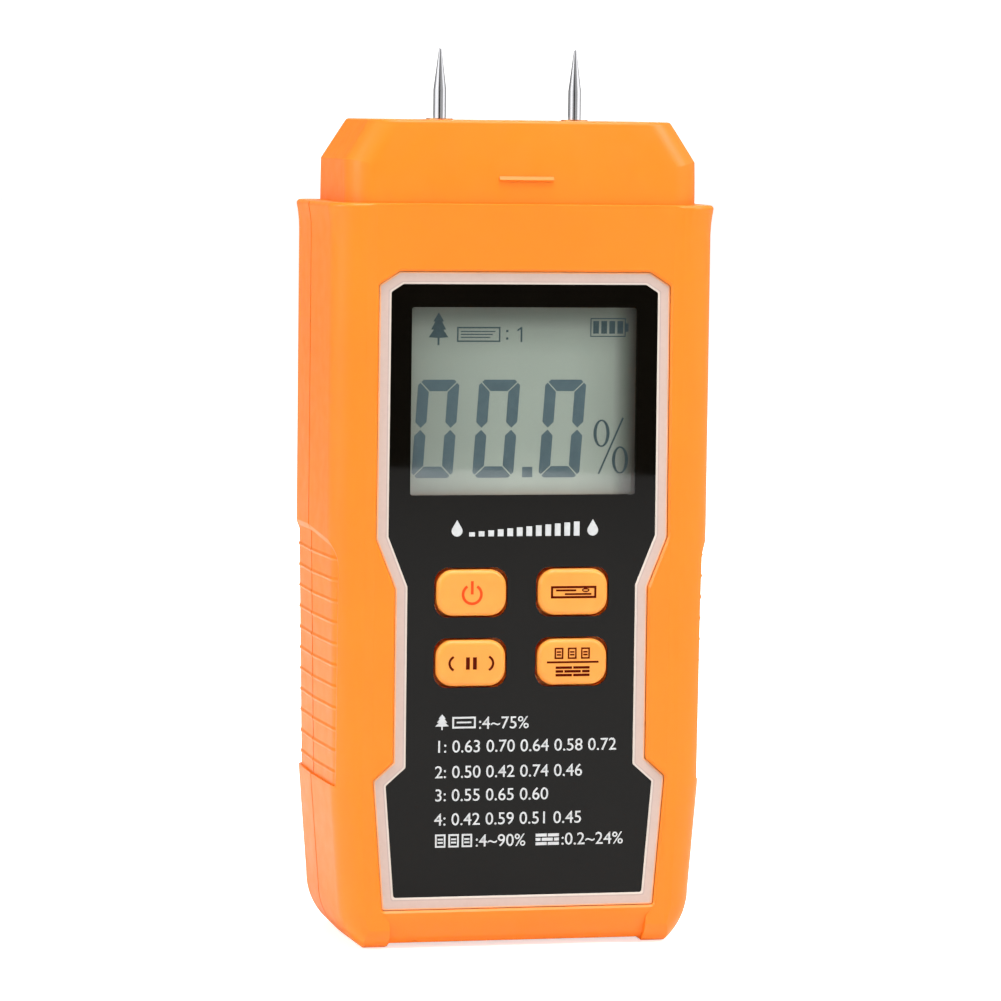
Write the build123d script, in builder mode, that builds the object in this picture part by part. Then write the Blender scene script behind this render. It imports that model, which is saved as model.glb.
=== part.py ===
"""A handheld two-pin moisture meter, standing upright on its feet.

Millimetres, +Z up, front towards -Y, origin at the bottom centre of the whole object.
Each piece is a solid of its own and is written to parts/ under its own name.
"""

import os
from math import pi, radians, sqrt, tan

from build123d import *

os.makedirs("parts", exist_ok=True)

# ---- Housing, outside ---------------------------------------------------------------
SIDE_X = 30.52          # half width of the straight sides at the parting line
FRONT_Y = -15.25
BACK_Y = 15.35
PARTING_Y = 1.5         # where the front and rear shells meet
SHELL_TOP = 114.9
BEND_Z = 8.0            # below this the sides bend in to the feet, as one arc
BEND_RADIUS = 10.07
BEND_CENTRE_X = 18.38
BEND_CENTRE_Z = 8.07
FLARE_Z = 110.2         # above this they flare out to the rim, as another
FLARE_RADIUS = 19.0
SIDE_LINE = ((BEND_Z, 28.45), (25, 29.8), (65, SIDE_X), (FLARE_Z, SIDE_X))
FRONT_DRAFT = 2.7       # degrees
BACK_DRAFT = 0.5
FRONT_CORNER = 4.25
BACK_CORNER = 3.0
END_EDGE = 0.6          # rounding of the rim and of the feet
TOE_RADIUS = 4.5        # where the front rolls under to the feet
SEAM_HALF = 0.25        # half the width of the groove along the parting line
SEAM_DEPTH = 0.3
OUTER_LEVELS = (
    (0, 1.2, 2.4, 4, 6, BEND_Z),
    (BEND_Z, 25),
    (25, 65),
    (65, FLARE_Z),
    (FLARE_Z, 111.8, 113.4, SHELL_TOP),
)

FOOT_IN_X = 20.6        # the feet are two long rails under the housing
BELLY_X = 19.8
BELLY_Z = 0.8           # underside between the feet
SCOOP_TOP = 6.0         # below the panel the front curves back between the rails
SCOOP_BACK_Y = -12.3
SCOOP_ARC_MIDDLE = (-14.3, 3.1)
SCOOP_FOOT_X = 20.2
SCOOP_WAIST = (20.3, 4.5)
SCOOP_TOP_X = 21.7

CHANNEL_Y = -15.05      # the middle of the front lies slightly lower than its sides
CHANNEL_X = 23.3
CHANNEL_EDGE_X = 24.8

GRIP_LOW = 25.5
GRIP_DEPTH = 0.45
GRIP_FRONT_X = 28.6     # in front view the grip's edge runs up this line
GRIP_BEND_Z = 59.3      # then turns outwards in an arc
GRIP_SLANT = ((29.3, 62.2), (34.0, 71.6))
RIDGE_HIGH = 0.16
RIDGE_WIDE = 0.9
RIDGE_ROOT = 0.03       # how far the ridges' flanks run on under the grip's surface
RIDGE_PITCH = 3.3
RIDGE_FIRST_Z = 27.6
RIDGES = 11

# ---- Housing, inside ----------------------------------------------------------------
WALL = 2.0
FLOOR_Y = -12.35        # inside of the front wall, behind the panel
REAR_WALL_Y = BACK_Y - WALL
CAVITY_BOTTOM = 2.6
CAVITY_TOP = SHELL_TOP - WALL
INNER_LEVELS = (
    (CAVITY_BOTTOM, 4.5, BEND_Z),
    (BEND_Z, 25),
    (25, 65),
    (65, FLARE_Z),
    (FLARE_Z, CAVITY_TOP),
)

# ---- Sensor head --------------------------------------------------------------------
HEAD_TOP = 127.6
HEAD_X = 27.6
HEAD_SHOULDER_Z = 121.4
HEAD_TOP_X = 23.7
HEAD_FRONT_Y = -14.25
HEAD_BACK_Y = 14.0
HEAD_LEAN = 1.3         # the front and the back curve inwards by this much at the top
HEAD_CORNER = 4.4
NECK_X, NECK_Y = 21.9, 9.9
NECK_GAP = 0.1
HEAD_FLANGE_X, HEAD_FLANGE_Y = 24.0, 11.6
HEAD_FLANGE_LOW = 110.7
HEAD_HOLLOW_X, HEAD_HOLLOW_Y = 20.0, 8.0
HEAD_ROOF_Z = 124.6
SNAP_BAR_Z = 118.75     # a small wedge across the middle, front and back, for a cap to snap on
SNAP_BAR_X = 4.25
SNAP_BAR_HALF = 0.35
SNAP_BAR_DEEP = 0.35

PIN_X = 10.75           # half the spacing of the electrode pins
PIN_RADIUS = 1.0        # above the collar; the shank held in the bush is thinner
PIN_SHANK_RADIUS = 0.8
PIN_SHOULDER_Z = 132.2
PIN_TIP_Z = 138.7
PIN_TIP_RADIUS = 0.2
PIN_FOOT_Z = 113.0
BUSH_RADIUS = 1.9
BUSH_COLLAR_RADIUS = 2.1
BUSH_COLLAR_HIGH = 0.18
BUSH_LOW = 112.8
BUSH_BOSS_RADIUS = 4.0
BUSH_BOSS_LOW = 116.0
LUG_THICK = 0.5
LUG_RADIUS = 3.6
LUG_TAIL_X = 4.75       # from the pin's axis to the crimp's axis
NUT_FLATS = 7.0
NUT_HIGH = 2.2

# ---- Front panel --------------------------------------------------------------------
PANEL_HALF = (
    (19.65, 104.6),
    (22.9, 102.5),
    (23.0, 63.6),
    (19.95, 55.9),
    (19.95, 29.2),
    (23.1, 26.4),
    (21.5, 6.2),
)
PANEL_Y = -14.45        # outer face of the printed panel
PANEL_SEAT_Y = -13.95
PANEL_GAP = 0.08
MOUTH_BEVEL = 0.35      # round the mouth of the recess that the panel lies in
WINDOW_X = 17.7
WINDOW_LOW, WINDOW_HIGH = 70.3, 99.1
WINDOW_MID = (WINDOW_LOW + WINDOW_HIGH) / 2
WINDOW_TALL = WINDOW_HIGH - WINDOW_LOW
LENS_FLANGE = 1.8       # how far the window reaches behind the panel
LENS_SEAT_Y = -13.15
LENS_GAP = 0.05
WINDOW_CLEAR = 0.5      # the housing's opening is this much larger than the window

# ---- Keys ---------------------------------------------------------------------------
KEY_X = 8.0
KEY_TOP_Z, KEY_LOW_Z = 55.3, 44.45
KEY_PLACES = {
    "power": (-KEY_X, KEY_TOP_Z),
    "wood": (KEY_X, KEY_TOP_Z),
    "hold": (-KEY_X, KEY_LOW_Z),
    "wall": (KEY_X, KEY_LOW_Z),
}
KEY_WIDE, KEY_TALL = 10.9, 7.1
KEY_CORNER = 2.6
KEY_HOLE_CORNER = 1.9   # before the gap is added
KEY_FACE_Y = -15.35
KEY_EDGE = 0.8
KEY_GAP = 0.3
KEY_TRAVEL = 0.9
KEY_FLANGE = 0.9        # how far the flange behind the housing stands out
KEY_FLANGE_Y = -12.25
KEY_FLANGE_THICK = 0.8
KEY_STEM_WIDE, KEY_STEM_TALL = 8.6, 4.8
PILL_WIDE, PILL_TALL, PILL_THICK = 5.0, 3.0, 0.5
WEB_FOOT_WIDE, WEB_FOOT_TALL = 13.8, 10.0
WEB_TOP_WIDE, WEB_TOP_TALL = 11.0, 7.2
WEB_THICK = 0.45
MAT_THICK = 1.0

# ---- Circuit board and display ------------------------------------------------------
BOARD_FRONT_Y = -8.4
BOARD_BACK_Y = -6.8
BOARD_X = 22.8
BOARD_LOW, BOARD_HIGH = 34.0, 107.5
BOARD_MID = (BOARD_LOW + BOARD_HIGH) / 2
BOARD_SCREWS = ((-20.4, 105.0), (20.4, 105.0), (-20.4, 36.8), (20.4, 36.8))
BOARD_BOSS_RADIUS = 2.2
BOARD_SCREW_RADIUS = 0.9
GLASS_X = 20.0
GLASS_FRONT_Y = -12.1
GLASS_STEP_Y = -11.0
GLASS_BACK_Y = -9.9
GLASS_LOW, GLASS_STEP_Z, GLASS_HIGH = 66.2, 69.0, 101.2
FILM = 0.2
FRAME_WALL = 1.3
FRAME_GAP = 0.1

# ---- Battery and its door -----------------------------------------------------------
BATTERY_WIDE, BATTERY_DEEP, BATTERY_TALL = 26.2, 16.8, 46.0
BATTERY_FRONT_Y = -4.3
BATTERY_LOW = 11.4
BATTERY_TOP = BATTERY_LOW + BATTERY_TALL
BATTERY_MID_Y = BATTERY_FRONT_Y + BATTERY_DEEP / 2
TERMINAL_X = 6.35
BAY_X = 14.2
BAY_WALL = 1.2
BAY_FRONT_Y = -4.4
BAY_LOW, BAY_HIGH = 11.2, 66.0
HOOK_POCKET_Y = 11.2
DOOR_X = 15.0
DOOR_LOW, DOOR_HIGH = 8.0, 65.0
DOOR_IN_Y = 13.4
DOOR_GAP = 0.2
HOOK_X = 9.5
HOOK_WIDE = 4.5
LATCH_X = 5.0
LATCH_SLOT = 0.6
LATCH_LOW = 57.0
LEAD_RADIUS = 0.5
LEAD_BEND = 4.9
LEAD_X = 3.0

WIRE_RADIUS = 0.4       # the thinner wires from the electrodes to the board
WIRE_BEND = 3.0
WIRE_TURN_Z = 104.3

# ---- Case screws --------------------------------------------------------------------
CASE_SCREWS = ((-25.5, 97.5), (25.5, 97.5), (-22.9, 14.0), (22.9, 14.0))
CASE_BOSS_RADIUS = 2.5
CASE_SCREW_RADIUS = 1.25
REAR_BOSS_RADIUS = 3.5
COUNTERBORE_RADIUS = 2.5
SCREW_SEAT_Y = 6.0
CASE_SCREW_END_Y = -5.0


def keep(sub_part, name):
    """Labels a finished piece and writes it as a STEP file."""
    sub_part.part.label = name
    export_step(sub_part.part, f"parts/{name}.step")


def facing_front(y):
    """The plane at depth y that looks forwards: local x is +X and local y is +Z."""
    return Plane(origin=(0, y, 0), x_dir=(1, 0, 0), z_dir=(0, -1, 0))


def facing_back(y):
    """The plane at depth y that looks backwards: local x is -X and local y is +Z."""
    return Plane(origin=(0, y, 0), x_dir=(-1, 0, 0), z_dir=(0, 1, 0))


def half_width(z):
    """Half the housing's width at height z, on the parting line."""
    if z < BEND_Z:
        return BEND_CENTRE_X + sqrt(BEND_RADIUS**2 - (BEND_CENTRE_Z - z) ** 2)
    if z > FLARE_Z:
        return SIDE_X + FLARE_RADIUS - sqrt(FLARE_RADIUS**2 - (z - FLARE_Z) ** 2)
    for (low, low_x), (high, high_x) in zip(SIDE_LINE, SIDE_LINE[1:]):
        if z <= high:
            return low_x + (high_x - low_x) * (z - low) / (high - low)


def cross_section(z, shrink, front_y, back_y, corners):
    """The housing's section at height z, drafted both ways from the parting line."""
    wide = half_width(z) - shrink
    front_x = wide - (PARTING_Y - front_y) * tan(radians(FRONT_DRAFT))
    back_x = wide - (back_y - PARTING_Y) * tan(radians(BACK_DRAFT))
    with BuildSketch(Plane.XY.offset(z)) as section:
        with BuildLine():
            FilletPolyline((0, front_y), (front_x, front_y), (wide, PARTING_Y), radius=corners[0])
            FilletPolyline((wide, PARTING_Y), (back_x, back_y), (0, back_y), radius=corners[1])
            mirror(about=Plane.YZ)
        make_face()
    return section.sketch


def envelope(levels, shrink, front_y, back_y, corners):
    """A solid of the housing's shape, through its sections at each group of levels."""
    with BuildPart() as body:
        for heights in levels:
            sections = [cross_section(z, shrink, front_y, back_y, corners) for z in heights]
            loft(sections, ruled=len(heights) == 2)
    return body.part


def grip_body(depth):
    """The housing's middle, with its surface pushed in by depth."""
    corners = (FRONT_CORNER - depth, BACK_CORNER - depth)
    return envelope(OUTER_LEVELS[1:4], depth, FRONT_Y + depth, BACK_Y - depth, corners)


def grip_section(z, depth):
    """The housing's section at height z, with its surface pushed in by depth."""
    corners = (FRONT_CORNER - depth, BACK_CORNER - depth)
    return cross_section(z, depth, FRONT_Y + depth, BACK_Y - depth, corners)


def grip_shape(y):
    """The outline of both grips at depth y, seen from the front and running past the sides."""
    with BuildSketch(facing_front(y)) as shape:
        with BuildLine():
            slant_low, slant_high = GRIP_SLANT
            TangentArc(slant_low, (GRIP_FRONT_X, GRIP_BEND_Z), tangent=(-1, -2))
            Polyline(
                (GRIP_FRONT_X, GRIP_BEND_Z),
                (GRIP_FRONT_X, GRIP_LOW),
                (slant_high[0], GRIP_LOW),
                slant_high,
                slant_low,
            )
        make_face()
        mirror(about=Plane.YZ)
    return shape.sketch


def panel_shape(y, gap):
    """The printed panel's outline at depth y, smaller by gap."""
    with BuildSketch(facing_front(y)) as shape:
        with BuildLine():
            Polyline((0, PANEL_HALF[0][1]), *PANEL_HALF, (0, PANEL_HALF[-1][1]))
            mirror(about=Plane.YZ)
        make_face()
        fillet(shape.vertices(), 0.5)
        if gap:
            offset(amount=-gap)
    return shape.sketch


def recess_mouth():
    """The bevel round the mouth of the panel's recess."""
    with BuildPart() as mouth:
        loft([panel_shape(CHANNEL_Y + MOUTH_BEVEL, 0), panel_shape(CHANNEL_Y - 0.1, -MOUTH_BEVEL - 0.1)])
    return mouth.part


def key_shape(y, x, z, corner, grow=0.0):
    """A key's rounded outline at depth y, larger by grow all round."""
    with BuildSketch(facing_front(y)) as shape:
        with Locations((x, z)):
            RectangleRounded(KEY_WIDE + 2 * grow, KEY_TALL + 2 * grow, corner + grow)
    return shape.sketch


def bent_wire(name, route, bend, radius):
    """A round wire along runs joined by arcs, checked against its section times its length."""
    with BuildPart() as wire:
        with BuildLine() as path:
            FilletPolyline(*route, radius=bend)
        with BuildSketch(Plane(origin=route[0], z_dir=path.line % 0)):
            Circle(radius)
        sweep(path=path.wire())
    length = path.wire().length
    share = wire.part.volume / (pi * radius**2 * length)
    print(f"{name}: length {length:.2f}, bend radius {bend}, volume over section x length {share:.4f}")
    keep(wire, name)


# ---- The housing blank, both shells in one ------------------------------------------
with BuildPart() as housing:
    add(envelope(OUTER_LEVELS, 0, FRONT_Y, BACK_Y, (FRONT_CORNER, BACK_CORNER)))
    fillet(housing.faces().sort_by(Axis.Z)[-1].edges(), END_EDGE)
    fillet(housing.faces().sort_by(Axis.Z)[0].edges(), END_EDGE)
    add(envelope(INNER_LEVELS, WALL, FLOOR_Y, REAR_WALL_Y, (1.5, 1.0)), mode=Mode.SUBTRACT)
    with BuildSketch(facing_front(BACK_Y)):
        Polygon(
            (-FOOT_IN_X, 0),
            (-BELLY_X, BELLY_Z),
            (BELLY_X, BELLY_Z),
            (FOOT_IN_X, 0),
            align=None,
        )
    extrude(amount=BACK_Y - FRONT_Y, mode=Mode.SUBTRACT)
    with BuildSketch(Plane.YZ.offset(-SIDE_X - 1)):
        with BuildLine():
            toe_heel = (FRONT_Y + TOE_RADIUS, 0)
            toe_tip = (FRONT_Y, TOE_RADIUS)
            RadiusArc(toe_heel, toe_tip, TOE_RADIUS)
            Polyline(toe_tip, (FRONT_Y - 1, TOE_RADIUS), (FRONT_Y - 1, -1), (toe_heel[0], -1), toe_heel)
        make_face()
    extrude(amount=2 * SIDE_X + 2, mode=Mode.SUBTRACT)
    with BuildSketch(Plane.XY.offset(CAVITY_TOP - 0.5)):
        RectangleRounded(2 * NECK_X + NECK_GAP, 2 * NECK_Y + NECK_GAP, 2)
    extrude(amount=WALL + 1, mode=Mode.SUBTRACT)

with BuildPart() as grip_ridges:
    for n in range(RIDGES):
        crest_z = RIDGE_FIRST_Z + RIDGE_PITCH * n
        root, crest = GRIP_DEPTH + RIDGE_ROOT, GRIP_DEPTH - RIDGE_HIGH
        flanks = (
            grip_section(crest_z - RIDGE_WIDE / 2, root),
            grip_section(crest_z, crest),
            grip_section(crest_z + RIDGE_WIDE / 2, root),
        )
        loft(flanks, ruled=True)

with BuildPart() as grip_cutter:
    extrude(grip_shape(BACK_Y), amount=BACK_Y - FRONT_Y)
    add(grip_body(GRIP_DEPTH), mode=Mode.SUBTRACT)
    add(grip_ridges.part, mode=Mode.SUBTRACT)

with BuildPart() as seam_cutter:
    with Locations((0, PARTING_Y, SHELL_TOP / 2)):
        Box(80, 2 * SEAM_HALF, SHELL_TOP + 2)
    corners = (FRONT_CORNER - SEAM_DEPTH, BACK_CORNER - SEAM_DEPTH)
    add(
        envelope(OUTER_LEVELS, SEAM_DEPTH, FRONT_Y + SEAM_DEPTH, BACK_Y - SEAM_DEPTH, corners),
        mode=Mode.SUBTRACT,
    )
    extrude(grip_shape(PARTING_Y + SEAM_HALF), amount=2 * SEAM_HALF)
    add(grip_body(GRIP_DEPTH + SEAM_DEPTH), mode=Mode.SUBTRACT)

with BuildPart() as scoop:
    with BuildSketch(Plane.YZ.offset(-BELLY_X - 2)):
        with BuildLine():
            Polyline(
                (CHANNEL_Y, SCOOP_TOP),
                (FRONT_Y - 1, SCOOP_TOP),
                (FRONT_Y - 1, -1),
                (SCOOP_BACK_Y, -1),
                (SCOOP_BACK_Y, BELLY_Z),
            )
            ThreePointArc((SCOOP_BACK_Y, BELLY_Z), SCOOP_ARC_MIDDLE, (CHANNEL_Y, SCOOP_TOP))
        make_face()
    extrude(amount=2 * BELLY_X + 4)
    with BuildSketch(facing_front(0)):
        with BuildLine():
            Polyline(
                (0, -1),
                (SCOOP_FOOT_X, -1),
                (SCOOP_FOOT_X, BELLY_Z),
                SCOOP_WAIST,
                (SCOOP_TOP_X, SCOOP_TOP),
                (0, SCOOP_TOP),
            )
            mirror(about=Plane.YZ)
        make_face()
    extrude(amount=20, mode=Mode.INTERSECT)

# ---- Front shell --------------------------------------------------------------------
with BuildPart() as front_shell:
    add(housing.part)
    add(grip_cutter.part, mode=Mode.SUBTRACT)
    add(seam_cutter.part, mode=Mode.SUBTRACT)
    split(bisect_by=facing_back(PARTING_Y), keep=Keep.BOTTOM)
    with BuildSketch(Plane.XY.offset(-1)):
        Polygon(
            (-CHANNEL_EDGE_X, FRONT_Y),
            (-CHANNEL_X, CHANNEL_Y),
            (CHANNEL_X, CHANNEL_Y),
            (CHANNEL_EDGE_X, FRONT_Y),
            (CHANNEL_EDGE_X, FRONT_Y - 1),
            (-CHANNEL_EDGE_X, FRONT_Y - 1),
            align=None,
        )
    extrude(amount=SHELL_TOP + 2, mode=Mode.SUBTRACT)
    add(scoop.part, mode=Mode.SUBTRACT)
    extrude(panel_shape(PANEL_SEAT_Y, 0), amount=2, mode=Mode.SUBTRACT)
    add(recess_mouth(), mode=Mode.SUBTRACT)
    with BuildSketch(facing_front(LENS_SEAT_Y)):
        with Locations((0, WINDOW_MID)):
            flange = LENS_FLANGE + LENS_GAP
            RectangleRounded(2 * (WINDOW_X + flange), WINDOW_TALL + 2 * flange, 1)
    extrude(amount=2, mode=Mode.SUBTRACT)
    with BuildSketch(facing_front(FLOOR_Y + 0.5)):
        with Locations((0, WINDOW_MID)):
            Rectangle(2 * (WINDOW_X + WINDOW_CLEAR), WINDOW_TALL + 2 * WINDOW_CLEAR)
    extrude(amount=3, mode=Mode.SUBTRACT)
    for x, z in KEY_PLACES.values():
        extrude(key_shape(FLOOR_Y + 0.5, x, z, KEY_HOLE_CORNER, KEY_GAP), amount=3, mode=Mode.SUBTRACT)
    with BuildSketch(facing_back(FLOOR_Y - 0.5)):
        with Locations(*BOARD_SCREWS):
            Circle(BOARD_BOSS_RADIUS)
    extrude(amount=BOARD_FRONT_Y - FLOOR_Y + 0.5)
    with BuildSketch(facing_back(FLOOR_Y - 0.5)):
        with Locations((0, (KEY_TOP_Z + KEY_LOW_Z) / 2)):
            Rectangle(1.4, 20)
    extrude(amount=BOARD_FRONT_Y - MAT_THICK - FLOOR_Y + 0.4)
    with BuildSketch(facing_back(FLOOR_Y - 0.5)):
        with Locations(*CASE_SCREWS):
            Circle(CASE_BOSS_RADIUS)
    extrude(amount=PARTING_Y - FLOOR_Y + 0.5)
    with BuildSketch(facing_front(BOARD_FRONT_Y)):
        with Locations(*BOARD_SCREWS):
            Circle(BOARD_SCREW_RADIUS)
    extrude(amount=3.5, mode=Mode.SUBTRACT)
    with BuildSketch(facing_front(PARTING_Y)):
        with Locations(*CASE_SCREWS):
            Circle(CASE_SCREW_RADIUS)
    extrude(amount=PARTING_Y - CASE_SCREW_END_Y + 1, mode=Mode.SUBTRACT)
keep(front_shell, "front_shell")

# ---- Rear shell, with the battery bay moulded in it ---------------------------------
with BuildPart() as rear_shell:
    add(housing.part)
    add(grip_cutter.part, mode=Mode.SUBTRACT)
    add(seam_cutter.part, mode=Mode.SUBTRACT)
    split(bisect_by=facing_back(PARTING_Y), keep=Keep.TOP)
    with BuildSketch(facing_front(REAR_WALL_Y + 0.5)):
        with Locations((0, (BAY_LOW + BAY_HIGH) / 2)):
            Rectangle(2 * (BAY_X + BAY_WALL), BAY_HIGH - BAY_LOW + 2 * BAY_WALL)
    extrude(amount=REAR_WALL_Y + 0.5 - BAY_FRONT_Y + BAY_WALL)
    with BuildSketch(facing_front(REAR_WALL_Y + 0.5)):
        with Locations((0, (CAVITY_BOTTOM + BAY_LOW) / 2)):
            Rectangle(2 * (BAY_X + BAY_WALL), BAY_LOW - CAVITY_BOTTOM + 1)
    extrude(amount=REAR_WALL_Y + 0.5 - HOOK_POCKET_Y + BAY_WALL)
    with BuildSketch(facing_front(REAR_WALL_Y)):
        with Locations((0, (BAY_LOW + BAY_HIGH) / 2)):
            Rectangle(2 * BAY_X, BAY_HIGH - BAY_LOW)
    extrude(amount=REAR_WALL_Y - BAY_FRONT_Y, mode=Mode.SUBTRACT)
    with BuildSketch(facing_front(REAR_WALL_Y)):
        with Locations((0, (CAVITY_BOTTOM + BAY_LOW) / 2)):
            Rectangle(2 * BAY_X, BAY_LOW - CAVITY_BOTTOM + 0.5)
    extrude(amount=REAR_WALL_Y - HOOK_POCKET_Y, mode=Mode.SUBTRACT)
    with BuildSketch(facing_back(REAR_WALL_Y - 1)):
        with Locations((0, (DOOR_LOW + DOOR_HIGH) / 2)):
            RectangleRounded(2 * (DOOR_X + DOOR_GAP), DOOR_HIGH - DOOR_LOW + 2 * DOOR_GAP, 1.2)
    extrude(amount=WALL + 2, mode=Mode.SUBTRACT)
    with BuildSketch(Plane.XY.offset(BAY_HIGH - 1)):
        with Locations((0, BATTERY_MID_Y)):
            Rectangle(4 * LEAD_X, 4.5)
    extrude(amount=4, mode=Mode.SUBTRACT)
    with BuildSketch(facing_back(PARTING_Y)):
        with Locations(*CASE_SCREWS):
            Circle(REAR_BOSS_RADIUS)
    extrude(amount=REAR_WALL_Y - PARTING_Y + 0.5)
    with BuildSketch(facing_back(PARTING_Y)):
        with Locations(*CASE_SCREWS):
            Circle(CASE_SCREW_RADIUS + 0.15)
    extrude(amount=WALL * 10, mode=Mode.SUBTRACT)
    with BuildSketch(facing_back(SCREW_SEAT_Y)):
        with Locations(*CASE_SCREWS):
            Circle(COUNTERBORE_RADIUS)
    extrude(amount=WALL * 10, mode=Mode.SUBTRACT)
keep(rear_shell, "rear_shell")

# ---- Battery door, hooked in at its foot and held by a springy tongue ----------------
with BuildPart() as battery_door:
    with BuildSketch(facing_back(DOOR_IN_Y)):
        with Locations((0, (DOOR_LOW + DOOR_HIGH) / 2)):
            RectangleRounded(2 * DOOR_X, DOOR_HIGH - DOOR_LOW, 1)
    extrude(amount=BACK_Y - DOOR_IN_Y)
    fillet(battery_door.faces().sort_by(Axis.Y)[-1].edges(), 0.25)
    with BuildSketch(Plane.XY.offset(DOOR_LOW)):
        with Locations((-HOOK_X, DOOR_IN_Y - 0.5), (HOOK_X, DOOR_IN_Y - 0.5)):
            Rectangle(HOOK_WIDE, 1.5)
    extrude(amount=1)
    with BuildSketch(Plane.XY.offset(DOOR_LOW - 2)):
        with Locations((-HOOK_X, DOOR_IN_Y - 0.75), (HOOK_X, DOOR_IN_Y - 0.75)):
            Rectangle(HOOK_WIDE, 1)
    extrude(amount=3)
    with BuildSketch(facing_back(DOOR_IN_Y - 1)):
        slot_mid_x = LATCH_X + LATCH_SLOT / 2
        with Locations((-slot_mid_x, LATCH_LOW + 4.5), (slot_mid_x, LATCH_LOW + 4.5)):
            Rectangle(LATCH_SLOT, 9)
    extrude(amount=4, mode=Mode.SUBTRACT)
    with BuildSketch(facing_back(BACK_Y - 0.5)):
        with Locations((0, LATCH_LOW + 4.2)):
            RectangleRounded(8.4, 5.6, 1.2)
    extrude(amount=1, mode=Mode.SUBTRACT)
    with BuildSketch(facing_back(BACK_Y - 0.6)):
        with Locations([(0, LATCH_LOW + 2.6 + 1.6 * n) for n in range(3)]):
            RectangleRounded(6.4, 0.7, 0.3)
    extrude(amount=0.55)
keep(battery_door, "battery_door")

with BuildPart() as door_pad:
    with BuildSketch(facing_front(DOOR_IN_Y)):
        with Locations((0, BATTERY_LOW + 22)):
            RectangleRounded(20, 28, 1.5)
    extrude(amount=0.5)
keep(door_pad, "door_pad")

# ---- Sensor head --------------------------------------------------------------------
with BuildPart() as sensor_head:
    with BuildSketch(facing_front(HEAD_BACK_Y)):
        with BuildLine():
            Polyline(
                (0, SHELL_TOP),
                (HEAD_X, SHELL_TOP),
                (HEAD_X, HEAD_SHOULDER_Z),
                (HEAD_TOP_X, HEAD_TOP),
                (0, HEAD_TOP),
            )
            mirror(about=Plane.YZ)
        make_face()
    extrude(amount=HEAD_BACK_Y - HEAD_FRONT_Y)
    with BuildSketch(Plane.YZ.offset(-HEAD_X)):
        with BuildLine():
            TangentArc((HEAD_FRONT_Y, SHELL_TOP), (HEAD_FRONT_Y + HEAD_LEAN, HEAD_TOP), tangent=(0, 1))
            Line((HEAD_FRONT_Y + HEAD_LEAN, HEAD_TOP), (HEAD_BACK_Y - HEAD_LEAN, HEAD_TOP))
            TangentArc((HEAD_BACK_Y, SHELL_TOP), (HEAD_BACK_Y - HEAD_LEAN, HEAD_TOP), tangent=(0, 1))
            Line((HEAD_BACK_Y, SHELL_TOP), (HEAD_FRONT_Y, SHELL_TOP))
        make_face()
    extrude(amount=2 * HEAD_X, mode=Mode.INTERSECT)
    for face in (sensor_head.faces().sort_by(Axis.Y)[0], sensor_head.faces().sort_by(Axis.Y)[-1]):
        fillet([e for e in face.edges() if e.bounding_box().size.Z > 1], HEAD_CORNER)
    fillet(sensor_head.faces().sort_by(Axis.Z)[-1].edges(), 0.7)
    for face_y, outward in ((HEAD_FRONT_Y, -1), (HEAD_BACK_Y, 1)):
        with BuildSketch(Plane.YZ.offset(-SNAP_BAR_X)):
            Polygon(
                (face_y - outward * 0.5, SNAP_BAR_Z + SNAP_BAR_HALF),
                (face_y, SNAP_BAR_Z + SNAP_BAR_HALF),
                (face_y + outward * SNAP_BAR_DEEP, SNAP_BAR_Z - SNAP_BAR_HALF / 2),
                (face_y, SNAP_BAR_Z - SNAP_BAR_HALF),
                (face_y - outward * 0.5, SNAP_BAR_Z - SNAP_BAR_HALF),
                align=None,
            )
        extrude(amount=2 * SNAP_BAR_X)
    with BuildSketch(Plane.XY.offset(HEAD_FLANGE_LOW)):
        RectangleRounded(2 * HEAD_FLANGE_X, 2 * HEAD_FLANGE_Y, 2.5)
    extrude(amount=CAVITY_TOP - HEAD_FLANGE_LOW)
    with BuildSketch(Plane.XY.offset(CAVITY_TOP)):
        RectangleRounded(2 * NECK_X, 2 * NECK_Y, 2)
    extrude(amount=SHELL_TOP - CAVITY_TOP)
    with BuildSketch(Plane.XY.offset(HEAD_FLANGE_LOW)):
        RectangleRounded(2 * HEAD_HOLLOW_X, 2 * HEAD_HOLLOW_Y, 2)
    extrude(amount=HEAD_ROOF_Z - HEAD_FLANGE_LOW, mode=Mode.SUBTRACT)
    with BuildSketch(Plane.XY.offset(BUSH_BOSS_LOW)):
        with Locations((-PIN_X, 0), (PIN_X, 0)):
            Circle(BUSH_BOSS_RADIUS)
    extrude(amount=HEAD_ROOF_Z - BUSH_BOSS_LOW + 1)
    with BuildSketch(Plane.XY.offset(BUSH_BOSS_LOW)):
        with Locations((-PIN_X, 0), (PIN_X, 0)):
            Circle(BUSH_RADIUS)
    extrude(amount=HEAD_TOP - BUSH_BOSS_LOW, mode=Mode.SUBTRACT)
keep(sensor_head, "sensor_head")

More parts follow.
